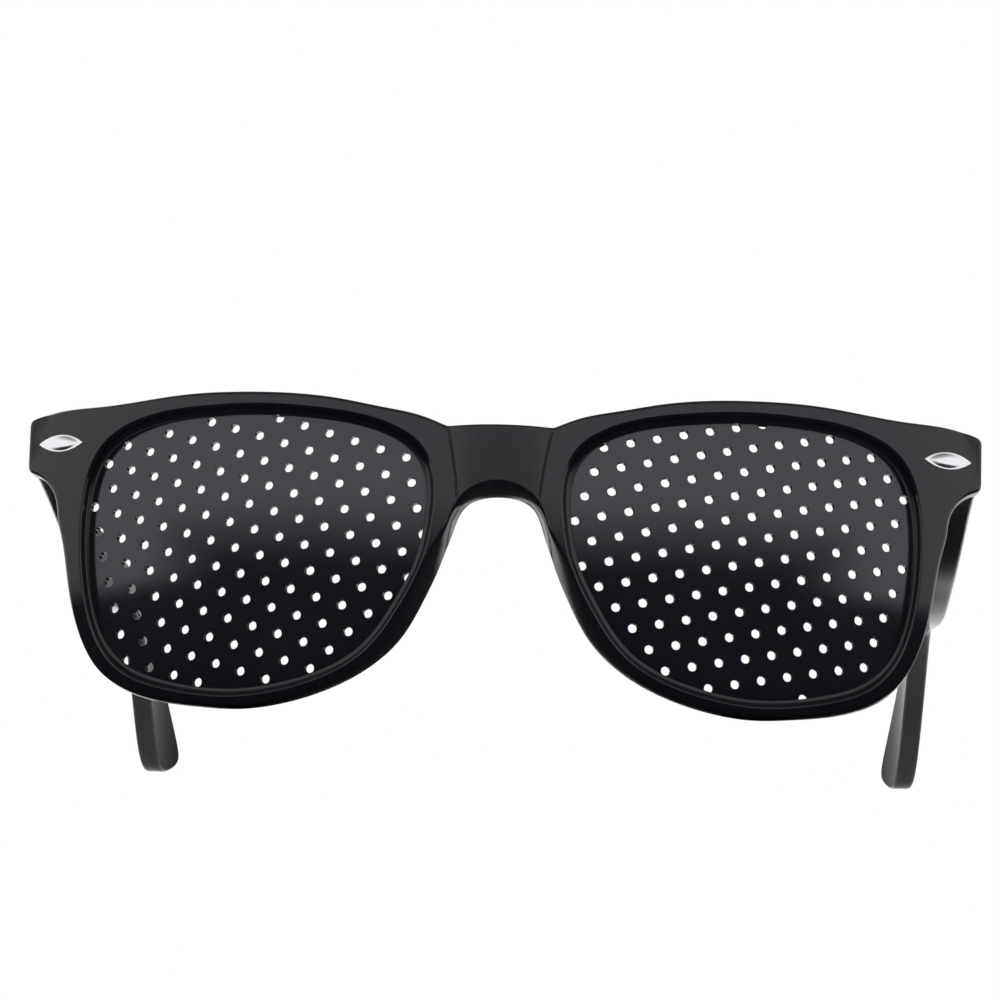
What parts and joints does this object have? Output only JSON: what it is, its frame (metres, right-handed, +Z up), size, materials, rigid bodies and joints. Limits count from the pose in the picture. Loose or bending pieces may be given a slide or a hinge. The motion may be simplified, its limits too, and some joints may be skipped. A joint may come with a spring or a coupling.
{
  "type": "pinhole_glasses",
  "caption": "Pinhole glasses: a moulded keyhole front with two perforated opaque lenses, silver inlays at the endpieces and temples that fold on screw hinges",
  "frame": {"origin": "The crown of the nose saddle on the middle plane, level with the outer faces of the lenses at their middles, where the front rests on the nose", "axes": "+X across the front to the right as seen from the front, +Y from the front along the open temples, +Z up"},
  "size_m": [0.146, 0.1611, 0.0476],
  "materials": {
    "frame_black": "polished moulded black",
    "lens_black": "glossy opaque black sheet, drilled",
    "inlay_silver": "bright plated inlay",
    "hinge_steel": "brushed",
    "screw_steel": "turned"
  },
  "bodies": {
    "front": {"front_frame": "frame_black", "lens_left": "lens_black", "lens_right": "lens_black", "accent_left": "inlay_silver", "accent_right": "inlay_silver", "front_hinge_left": "hinge_steel", "front_hinge_right": "hinge_steel", "hinge_screw_left": "screw_steel", "hinge_screw_right": "screw_steel"},
    "left_temple": {"temple_left": "frame_black", "temple_hinge_left": "hinge_steel"},
    "right_temple": {"temple_right": "frame_black", "temple_hinge_right": "hinge_steel"}
  },
  "joints": [
    {"name": "fold_right", "type": "hinge", "parent": "front", "child": "right_temple", "pos_m": [0.067, 0.0184, 0.0062], "axis": [0, 0, 1], "range_deg": [0, 88.3]},
    {"name": "fold_left", "type": "hinge", "parent": "front", "child": "left_temple", "pos_m": [-0.067, 0.0184, 0.0062], "axis": [0, 0, -1], "range_deg": [0, 91.7]}
  ]
}
